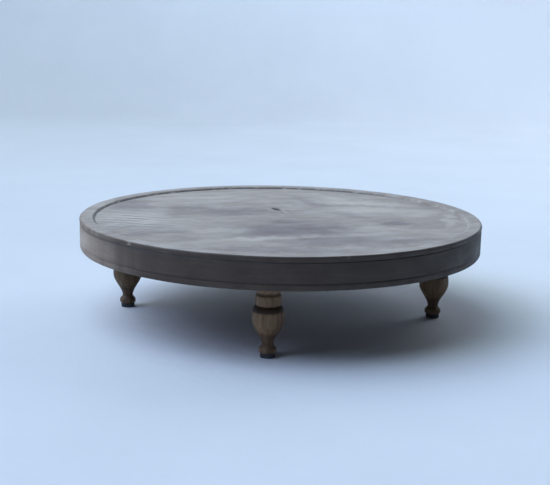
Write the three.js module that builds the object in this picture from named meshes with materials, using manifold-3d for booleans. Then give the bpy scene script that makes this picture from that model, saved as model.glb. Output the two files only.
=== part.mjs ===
// Round wooden turntable display stand. A shallow dished platter turns on a ring
// ball bearing, hidden between the platter and a thin base plate on four turned legs.
// Millimetres, +Z up. The origin is on the floor, under the middle of the platter.

import * as THREE from 'three';
import { mergeVertices } from 'three/addons/utils/BufferGeometryUtils.js';
import Module from 'manifold-3d';

const wasm = await Module();
wasm.setup();

// Driving dimensions

const totalHeight = 75.5;
const stackThickness = 22.6; // platter and base plate together, seen at the edge
const platterRadius = 150;
const legCircleRadius = 117.3;
const fitGap = 0.3; // between a piece and the hole made for it

const legNames = ['front', 'right', 'back', 'left'];
const firstLegAngle = -Math.PI / 2;
const ringScrewCount = 4;
const ballCount = 12;

const discSegments = 96;
const ringSegments = 48;
const legSegments = 24;
const screwSegments = 10;

// Base plate: a disc with a round-nosed edge lip and a raised boss that nests in the rim hoop

const baseBottom = totalHeight - stackThickness;
const baseRadius = platterRadius - 0.2;
const baseLipThickness = 4.2;
const baseNoseDepth = 1.8; // radial depth of the lip's rounding
const baseThickness = 5.5;
const bossRadius = 137;
const baseTop = baseBottom + baseThickness;
const accessHoleRadius = 6;

// Platter: a dished top panel, and the rim hoop glued under its lip

const partingGap = 0.8; // between the fixed base lip and the turning rim hoop
const bearingHeight = 5.5;
const hoopBottom = baseBottom + baseLipThickness + partingGap;
const hoopInnerRadius = 139;
const hoopOuterRadius = platterRadius - 0.2;
const lipThickness = 4.1;
const lipUndercut = 1.3; // how far the lip curves in above the hoop
const lipBottom = totalHeight - lipThickness;
const panelBottom = baseTop + bearingHeight;
const rimWidth = 8.8;
const recessDepth = 1.6;
const recessFloor = totalHeight - recessDepth;
const recessRadius = platterRadius - rimWidth - recessDepth; // at the foot of its sloping wall

// Ring bearing: balls in a cage run between a fixed outer ring and a turning inner ring

const ballRadius = 1.5;
const ballCircleRadius = 70;
const ballCircleHeight = baseTop + bearingHeight / 2;
const grooveRadius = ballRadius + 0.25;
const raceFaceOffset = 0.8; // from the ball circle to either ring's face
const raceWall = 4.2; // radial thickness of each ring's race
const flangeThickness = 2;
const ringHeight = bearingHeight - 0.5; // leaves each ring clear of the far plate
const outerFlangeRadius = 86;
const innerFlangeRadius = 52;
const outerScrewCircle = 80.5;
const innerScrewCircle = 58;
const cageHeight = 4.3;
const cageHalfThickness = 0.4;
const pocketRadius = ballRadius + 0.25;

// Countersunk wood screws

const legScrew = { length: 30, shankRadius: 2, headRadius: 4, headHeight: 2.6 };
const outerRingScrew = { length: 6, shankRadius: 1.2, headRadius: 2.6, headHeight: 1.5 };
const innerRingScrew = { length: 8, shankRadius: 1.2, headRadius: 2.6, headHeight: 1.5 };
const slotWidth = 0.7;
const slotDepth = 0.8;

// Legs and foot pads

const padHeight = 3.2;
const padRadius = 5;

const wood = { color: '#83766b', roughness: 0.8, metalness: 0 };
const edgeWood = { color: '#6d6057', roughness: 0.8, metalness: 0 };
const baseWood = { color: '#5f534b', roughness: 0.85, metalness: 0 };
const legWood = { color: '#7d5230', roughness: 0.6, metalness: 0 };
const rubber = { color: '#171310', roughness: 0.9, metalness: 0 };
const ringSteel = { color: '#b4b6b8', roughness: 0.4, metalness: 0.9 };
const ballSteel = { color: '#d8dadc', roughness: 0.15, metalness: 1 };
const nylon = { color: '#d9d4c6', roughness: 0.6, metalness: 0 };
const screwSteel = { color: '#c2a96a', roughness: 0.4, metalness: 0.9 };

// Shape helpers. A profile is a list of [radius, height] pairs, listed so that the
// material lies to the left of its path.

function turned(profile, segments) {
  const points = profile.map(([radius, height]) => new THREE.Vector2(radius, height));
  const geometry = new THREE.LatheGeometry(points, segments);
  geometry.rotateX(Math.PI / 2);
  return geometry;
}

function curvePoints(start, startHandle, endHandle, end, steps) {
  const corners = [start, startHandle, endHandle, end].map(([r, z]) => new THREE.Vector2(r, z));
  const points = new THREE.CubicBezierCurve(...corners).getPoints(steps);
  return points.map(({ x, y }) => [x, y]);
}

function toSolid(geometry) {
  const bare = geometry.clone();
  bare.deleteAttribute('normal');
  bare.deleteAttribute('uv');
  const merged = mergeVertices(bare);
  const corners = merged.index.array;
  const kept = [];
  for (let i = 0; i < corners.length; i += 3) {
    const [a, b, c] = corners.slice(i, i + 3);
    if (a !== b && b !== c && c !== a) kept.push(a, b, c);
  }
  return new wasm.Manifold(new wasm.Mesh({
    numProp: 3,
    vertProperties: new Float32Array(merged.attributes.position.array),
    triVerts: new Uint32Array(kept),
  }));
}

function toGeometry(solid) {
  const mesh = solid.getMesh();
  const geometry = new THREE.BufferGeometry();
  geometry.setAttribute('position', new THREE.BufferAttribute(mesh.vertProperties, 3));
  geometry.setIndex(new THREE.BufferAttribute(mesh.triVerts, 1));
  geometry.computeVertexNormals();
  return geometry;
}

function cut(geometry, cutters) {
  let solid = toSolid(geometry);
  for (const cutter of cutters) solid = solid.subtract(toSolid(cutter));
  return toGeometry(solid);
}

function spread(count, radius, start, height) {
  return Array.from({ length: count }, (_, i) => {
    const angle = start + (i * 2 * Math.PI) / count;
    return { angle, x: radius * Math.cos(angle), y: radius * Math.sin(angle), z: height };
  });
}

const legSpots = spread(legNames.length, legCircleRadius, firstLegAngle, 0);
const outerScrewSpots = spread(ringScrewCount, outerScrewCircle, 0, baseTop + flangeThickness);
const innerScrewSpots = spread(
  ringScrewCount, innerScrewCircle, Math.PI / 4, panelBottom - flangeThickness,
);
const ballSpots = spread(ballCount, ballCircleRadius, 0, ballCircleHeight);

// Screws. A screw lies head up with the flat of its head at height 0.

function screwGeometry({ length, shankRadius, headRadius, headHeight }) {
  const body = turned([
    [0, -length],
    [shankRadius * 0.3, -length],
    [shankRadius, -length + 2 * shankRadius],
    [shankRadius, -headHeight],
    [headRadius, 0],
    [0, 0],
  ], screwSegments);
  const slotLength = 1.2 * headRadius;
  const along = new THREE.BoxGeometry(slotLength, slotWidth, 2 * slotDepth);
  const across = new THREE.BoxGeometry(slotWidth, slotLength, 2 * slotDepth);
  return cut(body, [along, across]);
}

function screwHole({ length, shankRadius, headRadius, headHeight }) {
  const overrun = 1;
  return turned([
    [0, -length - fitGap],
    [shankRadius + fitGap, -length - fitGap],
    [shankRadius + fitGap, -headHeight],
    [headRadius + fitGap, 0],
    [headRadius + fitGap, overrun],
    [0, overrun],
  ], screwSegments);
}

function holesAt(spots, screw) {
  return spots.map(({ x, y, z }) => screwHole(screw).translate(x, y, z));
}

function upwardHolesAt(spots, screw) {
  return spots.map(({ x, y, z }) => screwHole(screw).rotateX(Math.PI).translate(x, y, z));
}

// Platter

function topPanel() {
  const noseRadius = 1.1;
  const plugRadius = hoopInnerRadius - fitGap;
  const blank = turned([
    [0, panelBottom],
    [plugRadius, panelBottom],
    [plugRadius, lipBottom],
    ...curvePoints(
      [platterRadius - lipUndercut, lipBottom],
      [platterRadius - 0.3 * lipUndercut, lipBottom + 0.2 * lipThickness],
      [platterRadius, lipBottom + 0.4 * lipThickness],
      [platterRadius, lipBottom + 0.6 * lipThickness],
      3,
    ),
    [platterRadius, totalHeight - noseRadius],
    [platterRadius - 0.3 * noseRadius, totalHeight - 0.3 * noseRadius],
    [platterRadius - noseRadius, totalHeight],
    [recessRadius + recessDepth, totalHeight],
    [recessRadius + 0.3 * recessDepth, totalHeight - 0.4 * recessDepth],
    [recessRadius, recessFloor],
    [0, recessFloor],
  ], discSegments);
  return cut(blank, upwardHolesAt(innerScrewSpots, innerRingScrew));
}

function rimHoop() {
  const chamfer = 0.6;
  const groove = 1;
  return turned([
    [hoopInnerRadius, hoopBottom],
    [hoopOuterRadius - chamfer, hoopBottom],
    [hoopOuterRadius, hoopBottom + chamfer],
    [hoopOuterRadius, lipBottom - 0.6 * groove],
    [hoopOuterRadius - groove, lipBottom],
    [hoopInnerRadius, lipBottom],
    [hoopInnerRadius, hoopBottom],
  ], discSegments);
}

// Base plate

function noseArc(outerRadius, bottom, thickness, depth) {
  const steps = 6;
  return Array.from({ length: steps + 1 }, (_, i) => {
    const angle = Math.PI * (i / steps - 0.5);
    return [
      outerRadius - depth * (1 - Math.cos(angle)),
      bottom + (thickness / 2) * (1 + Math.sin(angle)),
    ];
  });
}

function basePlate() {
  const lipTop = baseBottom + baseLipThickness;
  const blank = turned([
    [0, baseBottom],
    ...noseArc(baseRadius, baseBottom, baseLipThickness, baseNoseDepth),
    [bossRadius, lipTop],
    [bossRadius, baseTop],
    [0, baseTop],
  ], discSegments);
  const legScrewSpots = legSpots.map((spot) => ({ ...spot, z: baseTop }));
  const accessHole = new THREE.CylinderGeometry(accessHoleRadius, accessHoleRadius, 3 * baseThickness, 16);
  accessHole.rotateX(Math.PI / 2);
  accessHole.translate(innerScrewSpots[0].x, innerScrewSpots[0].y, baseBottom);
  return cut(blank, [
    accessHole,
    ...holesAt(legScrewSpots, legScrew),
    ...holesAt(outerScrewSpots, outerRingScrew),
  ]);
}

// Bearing rings. Each is an L section: a race beside the balls and a flange on its plate.

function grooveArc(side) {
  const steps = 4;
  const mouth = Math.acos(raceFaceOffset / grooveRadius);
  return Array.from({ length: steps + 1 }, (_, i) => {
    const angle = mouth * (1 - (2 * i) / steps);
    return [
      ballCircleRadius + side * grooveRadius * Math.cos(angle),
      ballCircleHeight + side * grooveRadius * Math.sin(angle),
    ];
  });
}

function outerRing() {
  const face = ballCircleRadius + raceFaceOffset;
  const blank = turned([
    [face, baseTop],
    [outerFlangeRadius, baseTop],
    [outerFlangeRadius, baseTop + flangeThickness],
    [face + raceWall, baseTop + flangeThickness],
    [face + raceWall, baseTop + ringHeight],
    [face, baseTop + ringHeight],
    ...grooveArc(1),
    [face, baseTop],
  ], ringSegments);
  return cut(blank, holesAt(outerScrewSpots, outerRingScrew));
}

function innerRing() {
  const face = ballCircleRadius - raceFaceOffset;
  const blank = turned([
    [face, panelBottom],
    [innerFlangeRadius, panelBottom],
    [innerFlangeRadius, panelBottom - flangeThickness],
    [face - raceWall, panelBottom - flangeThickness],
    [face - raceWall, panelBottom - ringHeight],
    [face, panelBottom - ringHeight],
    ...grooveArc(-1),
    [face, panelBottom],
  ], ringSegments);
  return cut(blank, upwardHolesAt(innerScrewSpots, innerRingScrew));
}

function ballCage() {
  const inside = ballCircleRadius - cageHalfThickness;
  const outside = ballCircleRadius + cageHalfThickness;
  const bottom = ballCircleHeight - cageHeight / 2;
  const blank = turned([
    [inside, bottom],
    [outside, bottom],
    [outside, bottom + cageHeight],
    [inside, bottom + cageHeight],
    [inside, bottom],
  ], ringSegments);
  const pockets = ballSpots.map(({ angle, x, y, z }) => {
    const pocket = new THREE.CylinderGeometry(pocketRadius, pocketRadius, 4, 10);
    pocket.rotateZ(Math.PI / 2 + angle);
    return pocket.translate(x, y, z);
  });
  return cut(blank, pockets);
}

// Legs: a foot ring, a thin neck, a long flare to the bulb, a collar and a top bead

function legGeometry() {
  const neck = [3.9, 8.8];
  const bulb = [11, 26.5];
  const throat = [8.2, 35.8];
  const flare = curvePoints(neck, [3.9, 15], [11, 20], bulb, 6);
  const shoulder = curvePoints(bulb, [11, 31], [10.8, 34.6], throat, 4);
  const pilotRadius = legScrew.shankRadius + fitGap;
  const pilotBottom = baseTop - legScrew.length - fitGap;
  return turned([
    [0, padHeight],
    [padRadius, padHeight],
    [6, 4],
    [6, 6.3],
    [5.2, 7.4],
    ...flare,
    ...shoulder.slice(1),
    [8.8, 36.8],
    [8.8, 42.4],
    [7.9, 44],
    [9.7, 48.4],
    [8.8, baseBottom],
    [pilotRadius, baseBottom],
    [pilotRadius, pilotBottom],
    [0, pilotBottom],
  ], legSegments);
}

function footPad() {
  return new THREE.CylinderGeometry(padRadius, padRadius, padHeight, legSegments).rotateX(Math.PI / 2);
}

// Assembly

const stand = new THREE.Group();

function add(name, geometry, finish, place = { x: 0, y: 0, z: 0 }) {
  const mesh = new THREE.Mesh(geometry, new THREE.MeshStandardMaterial(finish));
  mesh.name = name;
  mesh.position.set(place.x, place.y, place.z);
  stand.add(mesh);
  return mesh;
}

add('platter_top', topPanel(), wood);
add('platter_rim_hoop', rimHoop(), edgeWood);
add('bearing_inner_ring', innerRing(), ringSteel);
innerScrewSpots.forEach((spot, i) => {
  const screw = add(`inner_ring_screw_${i + 1}`, screwGeometry(innerRingScrew), screwSteel, spot);
  screw.rotation.x = Math.PI;
});

add('ball_cage', ballCage(), nylon);
ballSpots.forEach((spot, i) => {
  const number = String(i + 1).padStart(2, '0');
  add(`bearing_ball_${number}`, new THREE.SphereGeometry(ballRadius, 10, 7), ballSteel, spot);
});

add('bearing_outer_ring', outerRing(), ringSteel);
outerScrewSpots.forEach((spot, i) => {
  add(`outer_ring_screw_${i + 1}`, screwGeometry(outerRingScrew), screwSteel, spot);
});

add('base_plate', basePlate(), baseWood);
legNames.forEach((side, i) => {
  const spot = legSpots[i];
  add(`leg_${side}`, legGeometry(), legWood, spot);
  add(`leg_screw_${side}`, screwGeometry(legScrew), screwSteel, { ...spot, z: baseTop });
  add(`foot_pad_${side}`, footPad(), rubber, { ...spot, z: padHeight / 2 });
});

export default stand;
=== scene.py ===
# Looks for the turntable display stand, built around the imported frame. Metres, +Z up.
import math

import bpy
import numpy as np
from mathutils import Matrix, Vector, noise


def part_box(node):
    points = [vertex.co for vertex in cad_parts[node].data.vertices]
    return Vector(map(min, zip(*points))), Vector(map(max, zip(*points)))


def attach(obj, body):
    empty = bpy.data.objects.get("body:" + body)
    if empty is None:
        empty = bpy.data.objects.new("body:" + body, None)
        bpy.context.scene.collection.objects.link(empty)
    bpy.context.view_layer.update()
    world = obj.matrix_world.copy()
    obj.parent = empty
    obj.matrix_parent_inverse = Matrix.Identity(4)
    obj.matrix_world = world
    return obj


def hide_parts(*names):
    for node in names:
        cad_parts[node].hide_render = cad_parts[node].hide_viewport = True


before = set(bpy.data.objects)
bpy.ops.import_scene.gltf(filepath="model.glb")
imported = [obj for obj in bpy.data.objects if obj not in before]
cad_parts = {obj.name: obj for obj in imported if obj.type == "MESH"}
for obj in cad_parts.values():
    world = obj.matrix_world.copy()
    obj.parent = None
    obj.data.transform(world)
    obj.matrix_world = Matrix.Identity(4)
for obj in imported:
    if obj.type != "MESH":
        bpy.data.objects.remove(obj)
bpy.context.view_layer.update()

MM = 0.001
TURN = 2 * math.pi

# Sizes that the frame gives

TOP_LOW, TOP_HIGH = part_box("platter_top")
HOOP_LOW, HOOP_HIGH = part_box("platter_rim_hoop")
BASE_LOW, BASE_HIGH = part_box("base_plate")
OUTER_LOW, OUTER_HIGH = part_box("bearing_outer_ring")
INNER_LOW, INNER_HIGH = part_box("bearing_inner_ring")
CAGE_LOW, CAGE_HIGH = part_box("ball_cage")
PAD_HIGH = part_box("foot_pad_front")[1]
RADIUS = TOP_HIGH.x
TOP = TOP_HIGH.z
LIP_BOTTOM = HOOP_HIGH.z

# The legs, and how light each one's wood is painted: one wood in lit and shaded copies, so a value under 1
# is painted shade

SIDES = ("front", "right", "back", "left")
LEG_TINT = {"front": 1.0, "right": 0.72, "back": 0.75, "left": 0.60}

# Sizes that repeat the CAD model's own

RECESS_DEPTH = 1.6 * MM
HOOP_INNER = 139 * MM
PLUG_RADIUS = 138.7 * MM
BASE_LIP = 4.2 * MM
BOSS_RADIUS = 137 * MM
FIT_GAP = 0.3 * MM
SCREW_CIRCLE = 58 * MM  # the inner ring's screws, and the access hole that reaches them
ACCESS_RADIUS = 6 * MM
ACCESS_CENTRE = Vector((SCREW_CIRCLE * math.cos(TURN / 8), SCREW_CIRCLE * math.sin(TURN / 8)))
BALL_NUMBERS = range(1, 13)
RING_SCREW_NUMBERS = range(1, 5)
BALL_CIRCLE = 70 * MM
INNER_FLANGE_RADIUS = 52 * MM
GROOVE_RADIUS = 1.75 * MM
FACE_OFFSET = 0.8 * MM
RACE_WALL = 4.2 * MM
FLANGE = 2 * MM
SLOT_WIDTH = 0.7 * MM
SLOT_DEPTH = 0.8 * MM

# Screws. The thread and its pitch aren't in the CAD model, and the rest repeats it.

LEG_SCREW = {"length": 30 * MM, "shank": 2 * MM, "head": 4 * MM, "depth": 2.6 * MM, "pitch": 1.6 * MM}
RING_SCREW = {"length": 6 * MM, "shank": 1.2 * MM, "head": 2.6 * MM, "depth": 1.5 * MM, "pitch": 0.9 * MM}
PANEL_SCREW = dict(RING_SCREW, length=8 * MM)

# Sizes that differ from the CAD model's, or that it doesn't have

RIM_WIDTH = 9.4 * MM
RECESS_RADIUS = RADIUS - RIM_WIDTH - RECESS_DEPTH
LIP_UNDERCUT = 0.8 * MM
BASE_NOSE = 1.4 * MM  # radial depth of the base lip's rounding, in its lower half
NOSE_TOP = 0.3 * MM  # and in its upper half
LEDGE_RADIUS = 149.4 * MM  # a thin ledge on the lip, which narrows the parting line
LEDGE_HEIGHT = 0.65 * MM

# The platter's grain and marks, in millimetres and degrees from +X

GRAIN_TURN = 22
KNOT = (-6, 36)
KNOT_TURN = -62
CRACK = (KNOT[0] + 6, KNOT[1] - 14)
CRACK_TURN = -68
# x, y, half length, half width, turn, strength. The stains are real, and made stronger toward the centre and
# front as painted shade
STAINS_AND_SHADE = (
    (14, -52, 56, 24, 12, 0.80),
    (-32, 18, 38, 16, 18, 0.55),
    (88, -12, 17, 11, 30, 0.65),
    (-74, 28, 17, 10, 20, 0.65),
    (6, -18, 17, 8, 10, 0.60),
    (20, 72, 46, 8, -58, 0.45),
    (52, 16, 16, 11, -40, 0.35),
    (-84, -78, 44, 8, 24, 0.45),
    (86, -84, 40, 11, 34, 0.50),
    (10, -122, 66, 12, 4, 0.50),
    (-120, 30, 19, 32, 10, 0.60),
    (44, -86, 42, 20, 16, 0.65),
)
WORN = (
    (-108, -22, 30, 34, 22, 0.80),
    (-6, -84, 40, 7, 18, 0.45),
    (-40, -62, 26, 9, 24, 0.40),
    (66, 44, 44, 15, 8, 0.65),
    (64, 74, 48, 13, -8, 0.60),
    (6, 44, 15, 12, 0, 0.30),
    (44, 84, 46, 8, -58, 0.45),
    (-1, 24, 8, 2.5, -50, 0.45),
    (66, -38, 26, 8, 26, 0.35),
    (104, 34, 26, 22, 60, 0.40),
    (127, 10, 40, 5, 86, 0.50),
)
COMBED = ((-106, -34, 34, 58, 10, 1.0),)
# degrees from +X, depth
RIM_CHIPS = ((206, 0.5), (212, 0.9), (215, 0.7), (231.5, 1.0), (237, 0.4))


# Shape helpers


def rounded(corners, steps=4):
    """A path through (radius, height, fillet) corners, each turned on an arc of that fillet."""
    path = []
    for i, (radius, height, fillet) in enumerate(corners):
        here = Vector((radius, height))
        if fillet == 0:
            path.append(here)
            continue
        back = Vector(corners[i - 1][:2]) - here
        ahead = Vector(corners[(i + 1) % len(corners)][:2]) - here
        reach = fillet / math.tan(back.angle(ahead) / 2)
        start = here + back.normalized() * reach
        end = here + ahead.normalized() * reach
        for k in range(steps + 1):
            t = k / steps
            path.append(start * (1 - t) ** 2 + here * 2 * t * (1 - t) + end * t**2)
    return [(p.x, p.y) for p in path]


def bezier(corners, steps):
    """Points along a cubic curve with those four corners."""
    a, b, c, d = (Vector(corner) for corner in corners)
    line = []
    for k in range(steps + 1):
        t = k / steps
        s = 1 - t
        line.append(a * s**3 + b * 3 * s * s * t + c * 3 * s * t * t + d * t**3)
    return [(p.x, p.y) for p in line]


def finer(path, step):
    """The same path with a point at least every step along it."""
    fine = [path[0]]
    for (r0, z0), (r1, z1) in zip(path, path[1:]):
        count = max(1, math.ceil(math.hypot(r1 - r0, z1 - z0) / step))
        fine += [(r0 + (r1 - r0) * k / count, z0 + (z1 - z0) * k / count) for k in range(1, count + 1)]
    return fine


def revolve(name, path, segments, ring=False, shape=None):
    """A body turned round Z. The path runs up from axis to axis, or is a closed ring."""
    rows = np.array(path if ring else path[1:-1])
    angles = np.arange(segments) * TURN / segments
    round_x, round_y = np.cos(angles), np.sin(angles)
    co = np.stack([
        np.outer(rows[:, 0], round_x),
        np.outer(rows[:, 0], round_y),
        np.outer(rows[:, 1], np.ones(segments)),
    ], axis=2).reshape(-1, 3)
    i = np.arange(segments)
    k = (i + 1) % segments
    count = len(rows)
    faces = []
    for j in range(count if ring else count - 1):
        low, high = j * segments, (j + 1) % count * segments
        faces += np.column_stack([low + i, low + k, high + k, high + i]).tolist()
    if not ring:
        bottom, top, last = len(co), len(co) + 1, (count - 1) * segments
        co = np.vstack([co, [(0, 0, path[0][1]), (0, 0, path[-1][1])]])
        faces += np.column_stack([np.full(segments, bottom), k, i]).tolist()
        faces += np.column_stack([np.full(segments, top), last + i, last + k]).tolist()
    if shape:
        co = shape(co)
    mesh = bpy.data.meshes.new(name)
    mesh.from_pydata(co.tolist(), [], faces)
    return made(name, mesh)


def made(name, mesh):
    """An object of the mesh, smooth with sharp edges kept."""
    mesh.shade_smooth()
    mesh.set_sharp_from_angle(angle=math.radians(40))
    piece = bpy.data.objects.new(name, mesh)
    bpy.context.scene.collection.objects.link(piece)
    return piece


def cut(piece, cutters):
    """The piece with the cutters taken out of it. The cutters are used up."""
    for cutter in cutters:
        step = piece.modifiers.new("Cut", "BOOLEAN")
        step.object = cutter
        step.solver = "EXACT"
    shaped = piece.evaluated_get(bpy.context.evaluated_depsgraph_get())
    mesh = bpy.data.meshes.new_from_object(shaped)
    piece.modifiers.clear()
    piece.data = mesh
    mesh.set_sharp_from_angle(angle=math.radians(40))
    for cutter in cutters:
        bpy.data.objects.remove(cutter)
    return piece


def fit(piece, body, slot, material, *nodes):
    """The piece takes the place of these CAD nodes on their body, in this material."""
    piece.data.materials.clear()
    piece.data.materials.append(material)
    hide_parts(*nodes)
    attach(piece, body)
    return piece


def middle(node):
    low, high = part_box(node)
    return (low + high) / 2


def moved(x, y, z=0):
    """A shape step that only moves the points."""
    return lambda co: co + np.array([x, y, z])


# Node helpers for materials


class Paint:
    """A small builder for one material's nodes."""

    def __init__(self, name):
        self.material = bpy.data.materials.new(name)
        self.material.use_nodes = True
        self.tree = self.material.node_tree
        self.shader = self.tree.nodes["Principled BSDF"]
        self.place = self.add("ShaderNodeTexCoord").outputs["Object"]

    def add(self, kind, **settings):
        node = self.tree.nodes.new(kind)
        for key, value in settings.items():
            setattr(node, key, value)
        return node

    def plug(self, socket, value):
        if isinstance(value, bpy.types.NodeSocket):
            self.tree.links.new(value, socket)
        elif socket.type == "RGBA":
            socket.default_value = (*value, 1)
        else:
            socket.default_value = value

    def math(self, operation, a, b=0.0, c=0.0):
        node = self.add("ShaderNodeMath", operation=operation)
        for socket, value in zip(node.inputs, (a, b, c)):
            self.plug(socket, value)
        return node.outputs[0]

    def vector(self, operation, a, b=(0, 0, 0), scale=1.0):
        node = self.add("ShaderNodeVectorMath", operation=operation)
        self.plug(node.inputs[0], a)
        self.plug(node.inputs[1], b)
        if operation == "SCALE":
            self.plug(node.inputs["Scale"], scale)
        return node.outputs["Value" if operation == "LENGTH" else "Vector"]

    def mapped(self, place, scale=(1, 1, 1), turn=0.0, move=(0, 0, 0)):
        """The place moved, then turned round Z in degrees, then scaled."""
        shifted = self.vector("SUBTRACT", place, move)
        node = self.add("ShaderNodeVectorRotate", rotation_type="Z_AXIS")
        self.plug(node.inputs["Vector"], shifted)
        self.plug(node.inputs["Angle"], -math.radians(turn))
        return self.vector("MULTIPLY", node.outputs[0], scale)

    def axes(self, place):
        node = self.add("ShaderNodeSeparateXYZ")
        self.plug(node.inputs[0], place)
        return node.outputs

    def joined(self, x, y, z):
        node = self.add("ShaderNodeCombineXYZ")
        for socket, value in zip(node.inputs, (x, y, z)):
            self.plug(socket, value)
        return node.outputs[0]

    def noise(self, place, scale=1.0, detail=4.0, rough=0.55, colour=False):
        node = self.add("ShaderNodeTexNoise")
        self.plug(node.inputs["Vector"], place)
        self.plug(node.inputs["Scale"], scale)
        self.plug(node.inputs["Detail"], detail)
        self.plug(node.inputs["Roughness"], rough)
        return node.outputs["Color" if colour else "Fac"]

    def bands(self, place, period, warp=2.0, kind="BANDS", along="Y"):
        """Soft stripes across one axis, a period apart in metres. From 0 to 1."""
        node = self.add("ShaderNodeTexWave", wave_type=kind, wave_profile="SIN")
        setattr(node, "bands_direction" if kind == "BANDS" else "rings_direction", along)
        self.plug(node.inputs["Vector"], place)
        self.plug(node.inputs["Scale"], math.pi / 10 / period)
        self.plug(node.inputs["Distortion"], warp)
        self.plug(node.inputs["Detail"], 2.0)
        self.plug(node.inputs["Detail Scale"], 1.2)
        return node.outputs["Fac"]

    def between(self, value, low, high, to_low=0.0, to_high=1.0):
        """value's range low to high, taken smoothly to the other range."""
        node = self.add("ShaderNodeMapRange", interpolation_type="SMOOTHSTEP")
        for socket, number in zip(node.inputs, (value, low, high, to_low, to_high)):
            self.plug(socket, number)
        return node.outputs[0]

    def blend(self, *shares):
        """The sum of (value, share) pairs."""
        total = 0.0
        for value, share in shares:
            total = self.math("MULTIPLY_ADD", value, share, total)
        return total

    def ramp(self, value, *stops):
        """A colour ramp with (position, colour) stops."""
        node = self.add("ShaderNodeValToRGB")
        self.plug(node.inputs[0], value)
        marks = node.color_ramp.elements
        while len(marks) < len(stops):
            marks.new(0.5)
        for mark, (position, colour) in zip(marks, stops):
            mark.position = position
            mark.color = (*colour, 1)
        return node.outputs[0]

    def mix(self, share, a, b):
        node = self.add("ShaderNodeMix", data_type="RGBA")
        self.plug(node.inputs[0], share)
        self.plug(node.inputs[6], a)
        self.plug(node.inputs[7], b)
        return node.outputs[2]

    def bump(self, height, distance, under=None):
        node = self.add("ShaderNodeBump")
        self.plug(node.inputs["Height"], height)
        self.plug(node.inputs["Distance"], distance)
        if under:
            self.plug(node.inputs["Normal"], under)
        return node.outputs["Normal"]

    def finish(self, colour, rough, normal, metallic=0.0, specular=0.5):
        self.plug(self.shader.inputs["Base Color"], colour)
        self.plug(self.shader.inputs["Roughness"], rough)
        self.plug(self.shader.inputs["Normal"], normal)
        self.plug(self.shader.inputs["Metallic"], metallic)
        self.plug(self.shader.inputs["Specular IOR Level"], specular)
        return self.material


# Wood


def wandering(paint, place, amount):
    """The place with a slow, smooth wander of that many metres, so that grain isn't ruled."""
    drift = paint.noise(paint.vector("MULTIPLY", place, (3, 16, 16)), 1.0, 3, 0.5, colour=True)
    centred = paint.vector("SUBTRACT", drift, (0.5, 0.5, 0.5))
    return paint.vector("ADD", place, paint.vector("SCALE", centred, scale=amount))


def grain(paint, place):
    """Growth rings, long fibre, blotches, mottle and pores, for wood that runs along X."""
    path = wandering(paint, place, 9 * MM)
    rings = paint.bands(paint.vector("MULTIPLY", path, (0.12, 1, 1.4)), 15 * MM, 3.0, "RINGS", "X")
    fibre = paint.noise(paint.vector("MULTIPLY", path, (40, 700, 700)), 1.0, 5, 0.62)
    blotch = paint.noise(paint.vector("MULTIPLY", path, (10, 17, 17)), 1.0, 2, 0.45)
    mottle = paint.noise(paint.vector("MULTIPLY", path, (50, 95, 95)), 1.0, 4, 0.55)
    pores = paint.noise(paint.vector("MULTIPLY", path, (170, 2600, 2600)), 1.0, 2, 0.5)
    return rings, fibre, blotch, mottle, paint.between(pores, 0.60, 0.72)


def spots(paint, marks):
    """From 0 to 1 where one of the marks lies, with ragged edges."""
    ragged = paint.noise(paint.place, 55, 4, 0.62, colour=True)
    centred = paint.vector("SUBTRACT", ragged, (0.5, 0.5, 0.5))
    wander = paint.vector("MULTIPLY", centred, (34 * MM, 34 * MM, 0))
    loose = paint.vector("ADD", paint.place, wander)
    total = 0.0
    for x, y, length, width, turn, strength in marks:
        size = (1 / (length * MM), 1 / (width * MM), 0)
        local = paint.mapped(loose, size, turn, (x * MM, y * MM, 0))
        spot = paint.between(paint.vector("LENGTH", local), 0.3, 1.3, strength, 0.0)
        total = paint.math("MAXIMUM", total, spot)
    return total


def tinted(tint, colour):
    return tuple(tint * c for c in colour)


def grey_wood(paint, place, tint):
    """The colour, roughness and normal of weathered grey-brown wood."""
    rings, fibre, blotch, mottle, pores = grain(paint, place)
    tone = paint.blend((rings, 0.05), (fibre, 0.26), (blotch, 0.42), (mottle, 0.22))
    colour = paint.ramp(
        tone,
        (0.26, tinted(tint, (0.150, 0.112, 0.092))),
        (0.44, tinted(tint, (0.250, 0.200, 0.165))),
        (0.56, tinted(tint, (0.320, 0.265, 0.222))),
        (0.78, tinted(tint, (0.430, 0.380, 0.330))),
    )
    colour = paint.mix(paint.math("MULTIPLY", pores, 0.5), colour, tinted(tint, (0.09, 0.065, 0.05)))
    rough = paint.between(mottle, 0.3, 0.7, 0.64, 0.50)
    normal = paint.bump(fibre, 0.10 * MM, paint.bump(rings, 0.12 * MM))
    return colour, rough, paint.bump(pores, -0.05 * MM, normal)


def combed_ridges(paint, place, colour):
    """The colour with dark, broken lines along the grain where the top is combed."""
    waves = paint.bands(wandering(paint, place, 16 * MM), 6.5 * MM, 2.5)
    ridges = paint.between(waves, 0.45, 0.90)
    broken = paint.math("MULTIPLY", ridges, paint.between(paint.noise(place, 45, 3), 0.30, 0.55))
    combed = paint.math("MULTIPLY", broken, spots(paint, COMBED))
    return paint.mix(paint.math("MULTIPLY", combed, 0.85), colour, (0.13, 0.105, 0.10))


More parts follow.
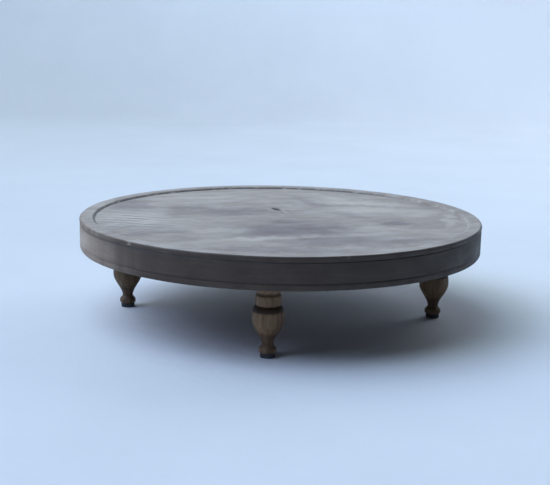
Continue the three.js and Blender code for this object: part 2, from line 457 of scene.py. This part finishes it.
def recess_edge(paint, reach, colour):
    """The colour with a scuffed edge to the recess, and painted shadow of the wall with a little dirt along
    its foot, strong towards -X and faint towards +X, where the wall faces the light.
    """
    scuffs = paint.between(paint.noise(paint.place, 210, 4, 0.65), 0.45, 0.62)
    worn = paint.math("MULTIPLY", scuffs, edge_band(paint, reach, RECESS_RADIUS + 1 * MM, 3 * MM))
    colour = paint.mix(paint.math("MULTIPLY", worn, 0.55), colour, (0.52, 0.47, 0.40))
    # painted shadow of the recess wall, with a little dirt, fading out towards +X
    foot = edge_band(paint, reach, RECESS_RADIUS + 0.3 * MM, 1.4 * MM)
    shadow_fading = paint.between(paint.axes(paint.place)[0], 50 * MM, 110 * MM, 0.8, 0.1)
    return paint.mix(paint.math("MULTIPLY", foot, shadow_fading), colour, (0.07, 0.055, 0.05))


def knot_and_crack(paint, colour):
    """The colour with a dark knot hole, and the crack that runs from it."""
    for (x, y), turn, length, width, strength in (
        (KNOT, KNOT_TURN, 7, 3.0, 1.0),
        (CRACK, CRACK_TURN, 15, 0.7, 0.50),
    ):
        size = (1 / (length * MM), 1 / (width * MM), 0)
        local = paint.mapped(paint.place, size, turn, (x * MM, y * MM, 0))
        dark = paint.between(paint.vector("LENGTH", local), 0.55, 1.25, strength, 0.0)
        colour = paint.mix(dark, colour, (0.022, 0.016, 0.014))
    return colour


def top_wood():
    """The platter's wood, with its stains (partly deepened as painted shade), worn patches, knot, crack and
    combed ridges, painted shadow at the foot of the recess wall, and painted light and shade on the lip.
    """
    paint = Paint("platter_wood")
    place = paint.mapped(paint.place, turn=GRAIN_TURN)
    reach = paint.vector("LENGTH", paint.vector("MULTIPLY", paint.place, (1, 1, 0)))
    colour, rough, normal = grey_wood(paint, place, 1.4)
    # real stains, deepened toward the centre and front as painted shade
    colour = paint.mix(spots(paint, STAINS_AND_SHADE), colour, (0.160, 0.120, 0.115))
    colour = paint.mix(spots(paint, WORN), colour, (0.62, 0.53, 0.44))
    colour = combed_ridges(paint, place, colour)
    colour = recess_edge(paint, reach, colour)
    colour = knot_and_crack(paint, colour)
    # painted light towards -X and painted shade towards +X on the lip's outer face
    outside = paint.between(reach, RADIUS - 1.6 * MM, RADIUS - 0.4 * MM)
    colour = paint.mix(outside, colour, side_tone(paint, colour, 0.6))
    return paint.finish(colour, rough, normal)


def side_tone(paint, colour, most=1.0):
    """The colour darkened, with painted light up to the share most on the side that faces -X, painted shade
    towards +X, and painted shade in the groove under the lip.
    """
    streaks = paint.noise(paint.vector("MULTIPLY", paint.place, (60, 60, 8)), 1.0, 3, 0.6)
    reach = paint.math("MULTIPLY_ADD", streaks, 30 * MM, paint.axes(paint.place)[0])
    flat = paint.vector("LENGTH", paint.vector("MULTIPLY", paint.place, (1, 1, 0)))
    outer = paint.between(flat, RADIUS - 3.5 * MM, RADIUS - 1.5 * MM)
    # painted light on the outer face towards -X, and painted shade towards +X just below
    painted_light = paint.math("MULTIPLY", outer, paint.between(reach, -62 * MM, -136 * MM, 0.0, most))
    shady = paint.between(reach, 30 * MM, 110 * MM)
    dark = paint.mix(shady, (0.142, 0.108, 0.086), (0.098, 0.075, 0.064))
    # painted shade in the groove under the lip
    groove = edge_band(paint, paint.axes(paint.place)[2], LIP_BOTTOM, 1.5 * MM)
    toned = paint.vector("MULTIPLY", colour, paint.mix(painted_light, dark, (0.98, 0.91, 0.82)))
    return paint.mix(paint.math("MULTIPLY", groove, 0.5), toned, (0.035, 0.028, 0.026))


def edge_band(paint, value, centre, width):
    """1 where the value is at the centre, falling to 0 that far either side."""
    gap = paint.math("ABSOLUTE", paint.math("SUBTRACT", value, centre))
    return paint.between(gap, 0.0, width, 1.0, 0.0)


def hoop_wood():
    """Bent wood whose grain runs round the rim, with painted light and shade on its side. Its ends meet at
    the back.
    """
    paint = Paint("hoop_wood")
    x, y, z = paint.axes(paint.place)
    angle = paint.math("ARCTAN2", x, paint.math("MULTIPLY", y, -1.0))
    along = paint.math("MULTIPLY", angle, RADIUS)
    out = paint.vector("LENGTH", paint.joined(x, y, 0.0))
    return weathered_side_with_painted_light(paint, paint.joined(along, out, z))


def base_wood():
    """The same wood across the fixed plate, with its grain at right angles to the platter's, and painted
    light and shade on its side.
    """
    paint = Paint("base_wood")
    return weathered_side_with_painted_light(paint, paint.mapped(paint.place, turn=GRAIN_TURN + 90))


def weathered_side_with_painted_light(paint, place):
    colour, rough, normal = grey_wood(paint, place, 1.3)
    # weathered wood, with side_tone's painted light towards -X and painted shade towards +X
    return paint.finish(side_tone(paint, colour), rough, normal)


# height, half width, strength of each band of painted shade on the legs
LEG_SHADE_BANDS = ((33.9, 3.2, 0.90), (43.9, 1.6, 0.60), (51.5, 5.0, 0.45), (12, 7.5, 0.50))


def leg_wood(side, tint):
    """Warm brown turned wood with upright grain, with painted shade in its hollows and just under the disc,
    and darkened as a whole by tint as painted shade.
    """
    paint = Paint(f"leg_wood_{side}")
    fibre = paint.noise(paint.vector("MULTIPLY", paint.place, (420, 420, 20)), 1.0, 5, 0.6)
    patch = paint.noise(paint.vector("MULTIPLY", paint.place, (60, 60, 40)), 1.0, 3, 0.5)
    specks = paint.noise(paint.vector("MULTIPLY", paint.place, (2200, 2200, 160)), 1.0, 2)
    pores = paint.between(specks, 0.6, 0.72)
    colour = paint.ramp(
        paint.blend((fibre, 0.6), (patch, 0.4)),
        (0.32, tinted(tint, (0.088, 0.048, 0.024))),
        (0.50, tinted(tint, (0.190, 0.113, 0.060))),
        (0.68, tinted(tint, (0.290, 0.188, 0.110))),
    )
    colour = paint.mix(paint.math("MULTIPLY", pores, 0.4), colour, (0.04, 0.022, 0.012))
    uneven = paint.math("MULTIPLY_ADD", patch, 1.2 * MM, -0.6 * MM)
    height = paint.math("ADD", paint.axes(paint.place)[2], uneven)
    # painted shade: dark bands on the shoulder, in the groove, under the disc and above the foot ring
    for centre, width, strength in LEG_SHADE_BANDS:
        band = edge_band(paint, height, centre * MM, width * MM)
        full = paint.math("MINIMUM", paint.math("MULTIPLY", band, 1.6), 1.0)
        painted_shade = paint.math("MULTIPLY", full, strength)
        colour = paint.mix(painted_shade, colour, (0.028, 0.014, 0.009))
    rough = paint.between(fibre, 0.3, 0.7, 0.62, 0.46)
    normal = paint.bump(fibre, 0.08 * MM, paint.bump(pores, -0.05 * MM))
    return paint.finish(colour, rough, normal, specular=0.3)


# Rubber, metal and nylon


def pad_rubber():
    paint = Paint("pad_rubber")
    speck = paint.noise(paint.place, 2600, 3, 0.6)
    dust = paint.noise(paint.place, 220, 4, 0.6)
    colour = paint.ramp(dust, (0.35, (0.016, 0.018, 0.024)), (0.75, (0.045, 0.046, 0.053)))
    return paint.finish(colour, paint.between(speck, 0.3, 0.7, 0.6, 0.85), paint.bump(speck, 0.05 * MM))


def plated_steel(name, colour, rough):
    """Plated steel with round brush lines and a faint spangle."""
    paint = Paint(name)
    lines = paint.noise(paint.vector("MULTIPLY", paint.place, (260, 260, 9000)), 1.0, 3, 0.6)
    spangle = paint.noise(paint.place, 420, 4, 0.6)
    shade = paint.mix(paint.between(spangle, 0.35, 0.65), tinted(0.7, colour), colour)
    worn = paint.between(spangle, 0.3, 0.7, rough + 0.12, rough - 0.06)
    return paint.finish(shade, worn, paint.bump(lines, 0.02 * MM), metallic=1.0)


def moulded_nylon():
    paint = Paint("moulded_nylon")
    cloud = paint.noise(paint.place, 260, 4, 0.6)
    shade = paint.mix(cloud, (0.60, 0.56, 0.46), (0.74, 0.71, 0.62))
    fine = paint.noise(paint.place, 2400, 2, 0.5)
    return paint.finish(shade, paint.between(cloud, 0.3, 0.7, 0.42, 0.58), paint.bump(fine, 0.03 * MM))


# Wear in the surfaces themselves


def dents(angle, count, seed, width, depth):
    """Many small dents round an edge, the same each run: how deep at each angle."""
    random = np.random.default_rng(seed)
    total = np.zeros_like(angle)
    for centre, size in zip(random.uniform(0, TURN, count), random.uniform(0.4, 1, count)):
        gap = (angle - centre + math.pi) % TURN - math.pi
        total += depth * size * np.clip(1 - (gap / (width * size)) ** 2, 0, 1) ** 2
    return total


def rough_field(co, size, seed):
    """Smooth noise over the points, from about -1 to 1, with bumps of that size."""
    offset = Vector((seed * 3.7, seed * 1.3, seed * 7.1))
    return np.array([noise.noise(Vector(p) / size + offset) for p in co.tolist()])


def pushed(co, inward):
    """The points moved towards the axis by that much each."""
    radius = np.maximum(np.hypot(co[:, 0], co[:, 1]), 1e-9)
    scale = 1 - inward / radius
    return np.column_stack([co[:, 0] * scale, co[:, 1] * scale, co[:, 2]])


def oval(co, x, y, length, width, turn):
    """A soft bump over an oval spot in plan, 1 at its middle."""
    a = math.radians(turn)
    dx, dy = co[:, 0] - x * MM, co[:, 1] - y * MM
    along = (dx * math.cos(a) + dy * math.sin(a)) / (length * MM)
    across = (dy * math.cos(a) - dx * math.sin(a)) / (width * MM)
    return np.exp(-(along**2 + across**2))


def floor_drop(co):
    """How far the upper surface has sunk: a wavy floor, combed ridges, a knot hole and crack."""
    a = math.radians(GRAIN_TURN)
    across = co[:, 1] * math.cos(a) - co[:, 0] * math.sin(a)
    drop = 0.15 * MM + rough_field(co, 26 * MM, 1) * 0.10 * MM + rough_field(co, 7 * MM, 2) * 0.05 * MM
    combed = np.clip(1.6 * oval(co, *COMBED[0][:5]), 0, 1)
    drop += 0.04 * MM * combed * np.sin(TURN * across / (6 * MM) + 5 * rough_field(co, 30 * MM, 6))
    drop += 1.3 * MM * oval(co, *KNOT, 6, 2.6, KNOT_TURN)
    drop += 0.5 * MM * oval(co, *CRACK, 14, 0.9, CRACK_TURN)
    return np.maximum(drop, 0)


def rim_bruises(co, radius, angle):
    """How far the rim's outer edge is pushed in, with a few deeper chips."""
    edge = np.clip((radius - RADIUS + 2 * MM) / (2 * MM), 0, 1) * (co[:, 2] > TOP - 2.5 * MM)
    bruise = edge * (dents(angle, 60, 5, 0.03, 0.3 * MM) + np.abs(rough_field(co, 9 * MM, 3)) * 0.12 * MM)
    for centre, depth in RIM_CHIPS:
        gap = (angle - math.radians(centre) + math.pi) % TURN - math.pi
        bruise += edge * depth * MM * np.exp(-((gap / 0.018) ** 2))
    return bruise


def worn_top(co):
    """Wear on the panel's upper surface, the recess's wall and the rim's outer edge."""
    radius = np.hypot(co[:, 0], co[:, 1])
    angle = np.arctan2(co[:, 1], co[:, 0])
    upper = co[:, 2] > TOP - RECESS_DEPTH - 0.1 * MM
    wall = np.exp(-(((radius - RECESS_RADIUS - RECESS_DEPTH / 2) / (1.5 * MM)) ** 2)) * upper
    tear = wall * (dents(angle, 90, 8, 0.02, -0.7 * MM) + rough_field(co, 12 * MM, 4) * 0.25 * MM)
    worn = pushed(co, np.where(radius > 1 * MM, rim_bruises(co, radius, angle) + tear, 0))
    worn[:, 2] = np.minimum(worn[:, 2] - upper * floor_drop(co), TOP)
    return worn


def worn_edge(depth, seed):
    """Wear for a round edge: shallow dents that only ever go inward."""
    def wear(co):
        radius = np.hypot(co[:, 0], co[:, 1])
        angle = np.arctan2(co[:, 1], co[:, 0])
        outside = np.clip((radius - radius.max() + 1.5 * MM) / (1.5 * MM), 0, 1)
        dent = np.abs(rough_field(co, 11 * MM, seed)) * depth + dents(angle, 40, seed, 0.03, 2 * depth)
        return pushed(co, outside * dent)
    return wear


# Wooden pieces


def platter_top():
    """The dished panel: a plug inside the hoop, a lip that curves in above it, and a rim."""
    floor = TOP - RECESS_DEPTH
    lip = TOP - LIP_BOTTOM
    plug = rounded([
        (0, TOP_LOW.z, 0),
        (PLUG_RADIUS, TOP_LOW.z, 0.3 * MM),
        (PLUG_RADIUS, LIP_BOTTOM, 0),
    ])
    ovolo = bezier([
        (RADIUS - LIP_UNDERCUT, LIP_BOTTOM),
        (RADIUS - 0.3 * LIP_UNDERCUT, LIP_BOTTOM + 0.2 * lip),
        (RADIUS, LIP_BOTTOM + 0.4 * lip),
        (RADIUS, LIP_BOTTOM + 0.6 * lip),
    ], 6)
    rim = rounded([
        (RADIUS, LIP_BOTTOM + 0.6 * lip, 0),
        (RADIUS, TOP, 1.3 * MM),
        (RECESS_RADIUS + RECESS_DEPTH, TOP, 0.5 * MM),
        (RECESS_RADIUS, floor, 0.35 * MM),
        (0, floor, 0),
    ])
    upper = finer(rim, 1.5 * MM)
    return revolve("platter_top_weathered", plug + ovolo + upper[1:], 560, shape=worn_top)


def rim_hoop():
    path = rounded([
        (HOOP_INNER, HOOP_LOW.z, 0.2 * MM),
        (HOOP_HIGH.x, HOOP_LOW.z, 0.1 * MM),
        (HOOP_HIGH.x, LIP_BOTTOM - 0.4 * MM, 0.3 * MM),
        (HOOP_HIGH.x - 0.6 * MM, LIP_BOTTOM, 0.1 * MM),
        (HOOP_INNER, LIP_BOTTOM, 0.2 * MM),
    ])
    return revolve("platter_rim_hoop_weathered", finer(path, 1.5 * MM), 480, True, worn_edge(0.06 * MM, 21))


def base_plate():
    """The fixed plate, with a round-nosed lip, an access hole and countersinks for the leg screws."""
    half = BASE_LIP / 2
    nose = []
    for k in range(15):
        angle = math.pi * (k / 14 - 0.5)
        depth = BASE_NOSE if angle < 0 else NOSE_TOP
        nose.append((BASE_HIGH.x - depth * (1 - math.cos(angle)), BASE_LOW.z + half * (1 + math.sin(angle))))
    boss = rounded([
        (LEDGE_RADIUS, BASE_LOW.z + BASE_LIP, 0),
        (LEDGE_RADIUS - 0.1 * MM, BASE_LOW.z + BASE_LIP + LEDGE_HEIGHT, 0),
        (BOSS_RADIUS, BASE_LOW.z + BASE_LIP + LEDGE_HEIGHT, 0),
        (BOSS_RADIUS, BASE_HIGH.z, 0.3 * MM),
        (0, BASE_HIGH.z, 0),
    ])
    path = finer([(0, BASE_LOW.z)] + nose + boss, 5 * MM)
    plate = revolve("base_plate_weathered", path, 360, shape=worn_edge(0.06 * MM, 31))
    below, above = BASE_LOW.z - 1 * MM, BASE_HIGH.z + 1 * MM
    rod = [(0, below), (ACCESS_RADIUS, below), (ACCESS_RADIUS, above), (0, above)]
    access = revolve("access_cutter", rod, 48, shape=moved(*ACCESS_CENTRE))
    sinks = [countersink(f"leg_screw_{side}", LEG_SCREW) for side in SIDES]
    return cut(plate, [access] + sinks)


def countersink(node, screw, down=False):
    """A cutter for a screw's hole, wider at the head, which is up, or down if down is true."""
    low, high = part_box(node)
    head, shank = screw["head"] + FIT_GAP, screw["shank"] + FIT_GAP
    cutter = revolve("countersink_cutter", [
        (0, -8 * MM),
        (shank, -8 * MM),
        (shank, -screw["depth"]),
        (head, 0),
        (head, 1 * MM),
        (0, 1 * MM),
    ], 32)
    if down:
        cutter.data.transform(Matrix.Rotation(math.pi, 4, "X"))
    spot = ((low.x + high.x) / 2, (low.y + high.y) / 2, low.z if down else high.z)
    cutter.data.transform(Matrix.Translation(spot))
    return cutter


def leg_path():
    """The leg's outline in metres, up from the pad: foot ring, neck, flare, bulb, collar, top bead."""
    foot = rounded([
        (0, 3.2, 0), (5, 3.2, 0.2), (6, 4, 0.5), (6, 6.4, 0.8), (5.1, 7.5, 0.5), (3.9, 8.8, 0),
    ])
    flare = bezier([(3.9, 8.8), (3.9, 15), (11, 20), (11, 26.5)], 24)
    shoulder = bezier([(11, 26.5), (11, 31), (10.8, 34.6), (8.2, 35.8)], 14)
    head = BASE_LOW.z / MM
    top = rounded([
        (8.2, 35.8, 0), (8.8, 36.8, 0.4), (8.8, 42.4, 0.8), (7.9, 44, 0.7),
        (9.8, 48.4, 3.0), (8.8, head, 0), (0, head, 0),
    ])
    return [(r * MM, z * MM) for r, z in finer(foot[:-1] + flare + shoulder[1:] + top[1:], 0.8)]


def turned_leg(side, spot):
    seed = 40 + SIDES.index(side)

    def wear(co):
        tool_marks = np.abs(rough_field(co * (1, 1, 4), 9 * MM, seed)) * 0.12 * MM
        radius = np.hypot(co[:, 0], co[:, 1])
        return pushed(co, np.where(radius > 3 * MM, tool_marks, 0)) + np.array([spot.x, spot.y, 0])

    return revolve(f"leg_{side}_turned", leg_path(), 56, shape=wear)


def foot_pad(side, spot):
    radius = PAD_HIGH.x - middle("foot_pad_front").x
    path = rounded([
        (0, 0.3 * MM, 0),
        (radius - 1.2 * MM, 0.3 * MM, 0.1 * MM),
        (radius - 1.2 * MM, 0, 0.1 * MM),
        (radius, 0, 0.3 * MM),
        (radius, PAD_HIGH.z, 0.4 * MM),
        (0, PAD_HIGH.z, 0),
    ])
    return revolve(f"foot_pad_{side}_moulded", finer(path, 0.8 * MM), 40, shape=moved(spot.x, spot.y))


# Bearing and screws


def race_ring(name, side, plate, flange_edge, height):
    """A grooved ring on a screwed flange. Side 1 stands up outside the balls, -1 hangs inside."""
    groove_height = side * (BALL_HEIGHT - plate)
    mouth = math.acos(FACE_OFFSET / GROOVE_RADIUS)
    groove = []
    for k in range(9):
        angle = mouth * (1 - k / 4)
        groove.append((GROOVE_RADIUS * math.cos(angle), groove_height + GROOVE_RADIUS * math.sin(angle)))
    wall = FACE_OFFSET + RACE_WALL
    outline = rounded([
        (FACE_OFFSET, 0, 0.2 * MM),
        (flange_edge, 0, 0.3 * MM),
        (flange_edge, FLANGE, 0.5 * MM),
        (wall, FLANGE, 0.4 * MM),
        (wall, height, 0.4 * MM),
        (FACE_OFFSET, height, 0.3 * MM),
    ])
    path = [(BALL_CIRCLE + side * r, plate + side * z) for r, z in outline + groove]
    return revolve(name, path, 160, ring=True)


def ball_cage():
    """A thin nylon band with a round pocket for each ball."""
    path = rounded([
        (CAGE_HIGH.x - 0.8 * MM, CAGE_LOW.z, 0.2 * MM),
        (CAGE_HIGH.x, CAGE_LOW.z, 0.2 * MM),
        (CAGE_HIGH.x, CAGE_HIGH.z, 0.2 * MM),
        (CAGE_HIGH.x - 0.8 * MM, CAGE_HIGH.z, 0.2 * MM),
    ])
    band = revolve("ball_cage_moulded", path, 144, ring=True)
    pockets = []
    for number in BALL_NUMBERS:
        spot = middle(f"bearing_ball_{number:02d}")
        pocket = revolve("pocket_cutter", ball_path(GROOVE_RADIUS), 20, shape=moved(*spot))
        pockets.append(pocket)
    return cut(band, pockets)


def ball_path(radius):
    return [(radius * math.sin(math.pi * k / 14), -radius * math.cos(math.pi * k / 14)) for k in range(15)]


def screw(name, node, size, down):
    """A countersunk wood screw with a cross recess, its head up, or down if down is true."""
    low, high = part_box(node)
    spot = (low + high) / 2
    length, shank, head, depth, pitch = (size[k] for k in ("length", "shank", "head", "depth", "pitch"))
    path = finer(rounded([
        (0, -length, 0),
        (0.25 * shank, -length, 0),
        (shank, -length + 2 * shank, 0),
        (shank, -depth, 0.1 * MM),
        (head, -0.15 * MM, 0.1 * MM),
        (head - 0.1 * MM, 0, 0),
        (0, 0, 0),
    ]), pitch / 5)

    def thread(co):
        angle = np.arctan2(co[:, 1], co[:, 0])
        radius = np.hypot(co[:, 0], co[:, 1])
        turn = (co[:, 2] / pitch - angle / TURN) % 1
        threaded = (co[:, 2] < -depth - 0.3 * MM) & (radius > 1e-5)
        depth_in = 0.25 * shank * np.abs(2 * turn - 1)
        return pushed(co, np.where(threaded, depth_in * radius / shank, 0))

    body = cut(revolve(name, path, 20, shape=thread), cross_cutters(head))
    if down:
        body.data.transform(Matrix.Rotation(math.pi, 4, "X"))
    body.data.transform(Matrix.Translation((spot.x, spot.y, low.z if down else high.z)))
    return body


def cross_cutters(head):
    """Two tapered slots that cross, for a driver."""
    cutters = []
    for turn in (0, math.pi / 2):
        cutter = revolve("slot_cutter", [
            (0, -SLOT_DEPTH), (0.3 * head, -SLOT_DEPTH), (0.6 * head, 0.1 * MM), (0, 0.1 * MM),
        ], 4)
        cutter.data.transform(Matrix.Diagonal((1, SLOT_WIDTH / (1.2 * head), 1, 1)))
        cutter.data.transform(Matrix.Rotation(turn, 4, "Z"))
        cutters.append(cutter)
    return cutters


# Camera, lights and floor


def camera():
    """Low in front and a little to the right of the front leg, with the frame tilted slightly."""
    distance, left, drop = 5.619 * RADIUS, 0.0259 * RADIUS, 0.1434 * RADIUS
    turn, rise, roll = math.radians(3.66), math.radians(11.495), math.radians(1.124)
    aside = Vector((math.cos(turn), math.sin(turn), 0))
    ahead = Vector((-math.sin(turn), math.cos(turn), 0))
    aim = aside * -left + Vector((0, 0, TOP - drop))
    look = ahead * math.cos(rise) - Vector((0, 0, math.sin(rise)))
    up = aside.cross(look)
    right = aside * math.cos(roll) + up * math.sin(roll)
    above = up * math.cos(roll) - aside * math.sin(roll)
    data = bpy.data.cameras.new("camera")
    data.sensor_width = 36
    data.lens = 72.6
    data.clip_start = 0.05
    data.clip_end = 30
    view = bpy.data.objects.new("camera", data)
    bpy.context.scene.collection.objects.link(view)
    turned = Matrix((right, above, -look)).transposed().to_4x4()
    view.matrix_world = Matrix.Translation(aim - look * distance) @ turned
    bpy.context.scene.camera = view


def softbox(name, azimuth, elevation, distance, size, power, colour):
    """A square light that faces the stand. Azimuth 0 is +X, and 90 is +Y."""
    a, e = math.radians(azimuth), math.radians(elevation)
    towards = Vector((math.cos(a) * math.cos(e), math.sin(a) * math.cos(e), math.sin(e)))
    data = bpy.data.lights.new(name, "AREA")
    data.shape = "SQUARE"
    data.size = size
    data.energy = power
    data.color = colour
    light = bpy.data.objects.new(name, data)
    light.location = towards * distance + Vector((0, 0, TOP))
    light.rotation_mode = "QUATERNION"
    light.rotation_quaternion = towards.to_track_quat("Z", "Y")
    bpy.context.scene.collection.objects.link(light)


def plaster():
    """Pale plaster, with painted light that makes it a little lighter to the right and up the wall."""
    paint = Paint("studio_plaster")
    axes = paint.axes(paint.place)
    x, z = axes[0], axes[2]
    cloud = paint.noise(paint.place, 5, 5, 0.6)
    # painted light: lighter towards +X and up the wall
    rise = paint.math("MULTIPLY_ADD", z, 1.2, paint.math("MULTIPLY", x, 0.75))
    share = paint.between(paint.math("MULTIPLY_ADD", cloud, 0.25, rise), -0.45, 0.75)
    shade = paint.mix(share, (0.59, 0.60, 0.61), (0.97, 0.96, 0.97))
    fine = paint.noise(paint.place, 60, 5, 0.6)
    return paint.finish(shade, 0.75, paint.bump(fine, 0.5 * MM), specular=0.3)


def floor_and_wall():
    """A pale floor that curves up into a wall behind."""
    wall, bend, front, side, height = 1.9, 0.35, 1.4, 2.2, 3.0
    outline = [(-front, 0)]
    for k in range(13):
        angle = math.pi / 2 * k / 12
        outline.append((wall - bend + bend * math.sin(angle), bend - bend * math.cos(angle)))
    outline.append((wall, height))
    points = [(x, y, z) for y, z in outline for x in (-side, side)]
    faces = [(2 * i, 2 * i + 1, 2 * i + 3, 2 * i + 2) for i in range(len(outline) - 1)]
    mesh = bpy.data.meshes.new("studio_floor")
    mesh.from_pydata(points, [], faces)
    mesh.shade_smooth()
    mesh.materials.append(plaster())
    floor = bpy.data.objects.new("studio_floor", mesh)
    bpy.context.scene.collection.objects.link(floor)


def pale_horizon():
    """A world that is pale below and just above the horizon, and almost dark higher up."""
    world = bpy.data.worlds.new("sky")
    world.use_nodes = True
    nodes, links = world.node_tree.nodes, world.node_tree.links
    place, axes, fade = (nodes.new(kind) for kind in (
        "ShaderNodeTexCoord", "ShaderNodeSeparateXYZ", "ShaderNodeMapRange"))
    fade.interpolation_type = "SMOOTHSTEP"
    for key, value in (("From Min", 0.04), ("From Max", 0.14), ("To Min", 0.85), ("To Max", 0.01)):
        fade.inputs[key].default_value = value
    links.new(place.outputs["Generated"], axes.inputs[0])
    links.new(axes.outputs["Z"], fade.inputs["Value"])
    links.new(fade.outputs[0], nodes["Background"].inputs["Strength"])
    nodes["Background"].inputs["Color"].default_value = (0.66, 0.82, 1.0, 1)
    return world


def lighting():
    """Soft daylight from high on the left, with weaker fills."""
    softbox("key_light", 197, 60, 2.6, 3.0, 64, (0.57, 0.80, 1.0))
    softbox("low_light", 200, 42, 2.5, 1.8, 31, (0.50, 0.57, 1.0))
    softbox("window_light", 150, 38, 2.4, 1.8, 13, (0.92, 1.0, 0.91))
    softbox("right_light", 45, 32, 2.2, 1.4, 8.5, (0.80, 0.88, 1.0))
    bpy.context.scene.world = pale_horizon()
    bpy.context.scene.view_settings.view_transform = "Standard"


# Assembly

BALL_HEIGHT = middle("bearing_ball_01").z

camera()
floor_and_wall()
lighting()

rubber = pad_rubber()
zinc = plated_steel("ring_steel", (0.62, 0.63, 0.65), 0.34)
yellow_zinc = plated_steel("screw_steel", (0.70, 0.58, 0.33), 0.34)
ball_steel = plated_steel("ball_steel", (0.80, 0.81, 0.82), 0.12)

fit(platter_top(), "platter", "platter_wood", top_wood(), "platter_top")
fit(rim_hoop(), "platter", "hoop_wood", hoop_wood(), "platter_rim_hoop")
fit(base_plate(), "base", "base_wood", base_wood(), "base_plate")

for side in SIDES:
    spot = middle(f"leg_{side}")
    fit(turned_leg(side, spot), "base", "leg_wood", leg_wood(side, LEG_TINT[side]), f"leg_{side}")
    fit(foot_pad(side, spot), "base", "pad_rubber", rubber, f"foot_pad_{side}")
    leg_screw = screw(f"leg_screw_{side}_threaded", f"leg_screw_{side}", LEG_SCREW, False)
    fit(leg_screw, "base", "screw_steel", yellow_zinc, f"leg_screw_{side}")

fixed_ring = race_ring(
    "bearing_outer_ring_ground", 1, OUTER_LOW.z,
    OUTER_HIGH.x - BALL_CIRCLE, OUTER_HIGH.z - OUTER_LOW.z,
)
fixed_sinks = [countersink(f"outer_ring_screw_{n}", RING_SCREW) for n in RING_SCREW_NUMBERS]
fit(cut(fixed_ring, fixed_sinks), "base", "ring_steel", zinc, "bearing_outer_ring")
turning_ring = race_ring(
    "bearing_inner_ring_ground", -1, INNER_HIGH.z,
    BALL_CIRCLE - INNER_FLANGE_RADIUS, INNER_HIGH.z - INNER_LOW.z,
)
turning_sinks = [countersink(f"inner_ring_screw_{n}", PANEL_SCREW, True) for n in RING_SCREW_NUMBERS]
fit(cut(turning_ring, turning_sinks), "platter", "ring_steel", zinc, "bearing_inner_ring")

for number in RING_SCREW_NUMBERS:
    lower = screw(f"outer_ring_screw_{number}_threaded", f"outer_ring_screw_{number}", RING_SCREW, False)
    fit(lower, "base", "screw_steel", yellow_zinc, f"outer_ring_screw_{number}")
    upper = screw(f"inner_ring_screw_{number}_threaded", f"inner_ring_screw_{number}", PANEL_SCREW, True)
    fit(upper, "platter", "screw_steel", yellow_zinc, f"inner_ring_screw_{number}")

fit(ball_cage(), "ball_set", "cage_nylon", moulded_nylon(), "ball_cage")
for number in BALL_NUMBERS:
    node = f"bearing_ball_{number:02d}"
    low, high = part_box(node)
    ball = revolve(f"{node}_polished", ball_path((high.z - low.z) / 2), 24, shape=moved(*middle(node)))
    fit(ball, "ball_set", "ball_steel", ball_steel, node)
